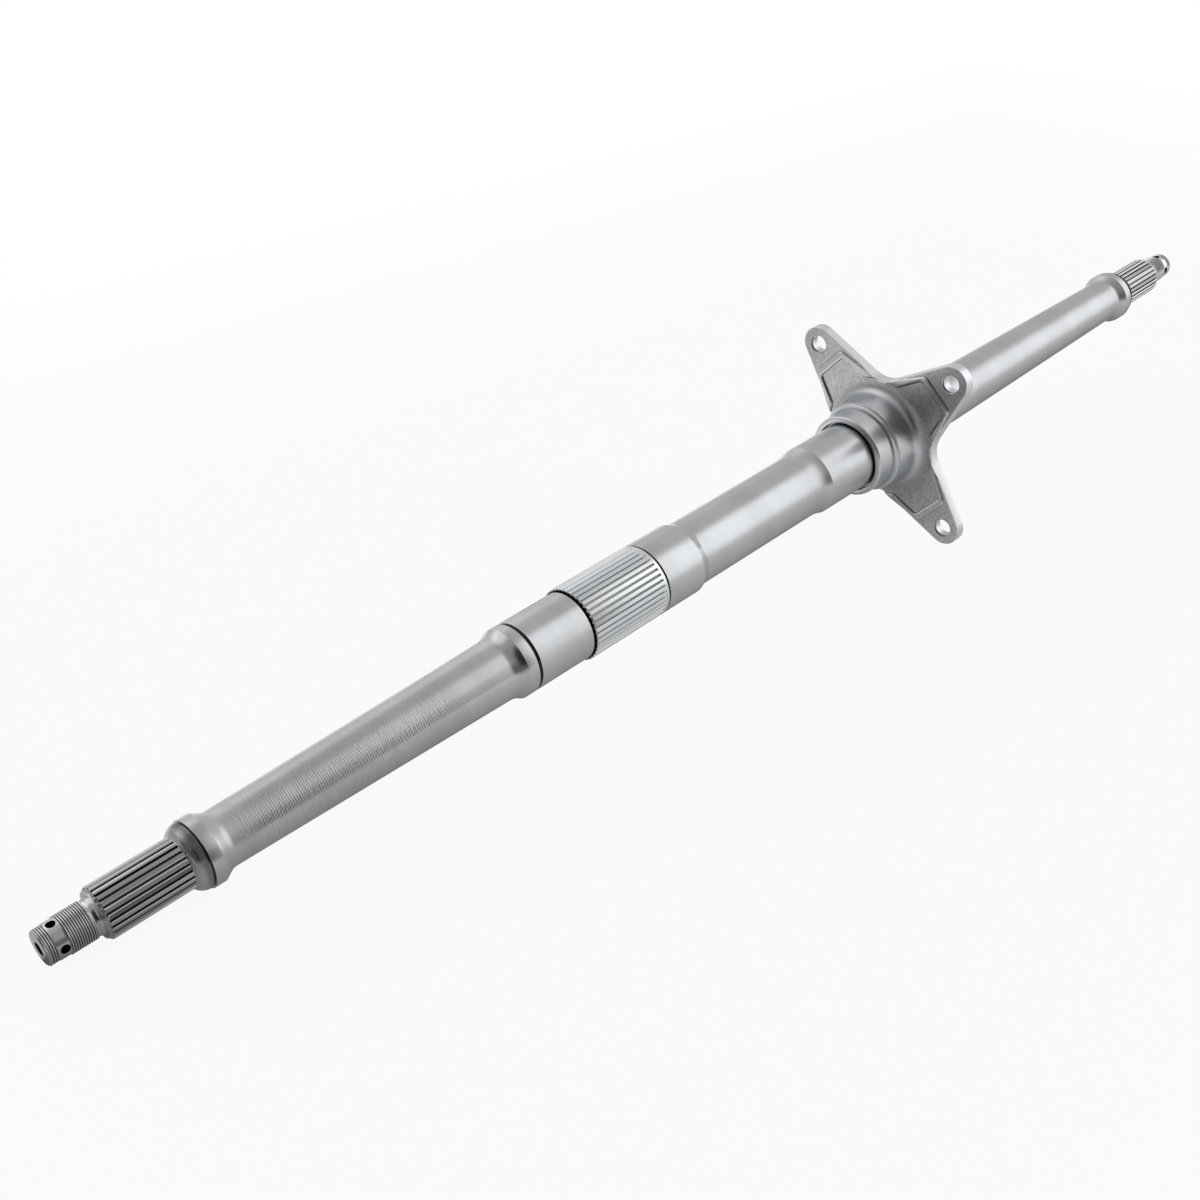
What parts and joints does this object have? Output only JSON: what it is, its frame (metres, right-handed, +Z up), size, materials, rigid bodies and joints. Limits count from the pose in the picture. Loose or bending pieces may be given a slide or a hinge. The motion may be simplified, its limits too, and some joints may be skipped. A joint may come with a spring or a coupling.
{
  "type": "rear axle shaft",
  "caption": "Live rear axle shaft with splined and threaded wheel ends, tapered halves, stepped bearing journals, a fine central brake spline and a pressed-on sprocket hub with bolted arms.",
  "frame": {"origin": "on the axle's axis, in the plane of the sprocket hub's flat back face, where the sprocket seats", "axes": "+X along the axle's axis, from the brake side end towards the sprocket side end; +Z up; the four arms lie half-way between +Y, +Z, -Y and -Z"},
  "size_m": [0.88, 0.1144, 0.1144],
  "materials": {
    "axle_steel": "turned and ground bare steel, light grey, with fine marks round it",
    "hub_steel": "forged steel, turned bright on its rings, darker grey and satin on its arms"
  },
  "bodies": {
    "root": {"axle_shaft": "axle_steel", "sprocket_hub": "hub_steel"}
  },
  "joints": []
}
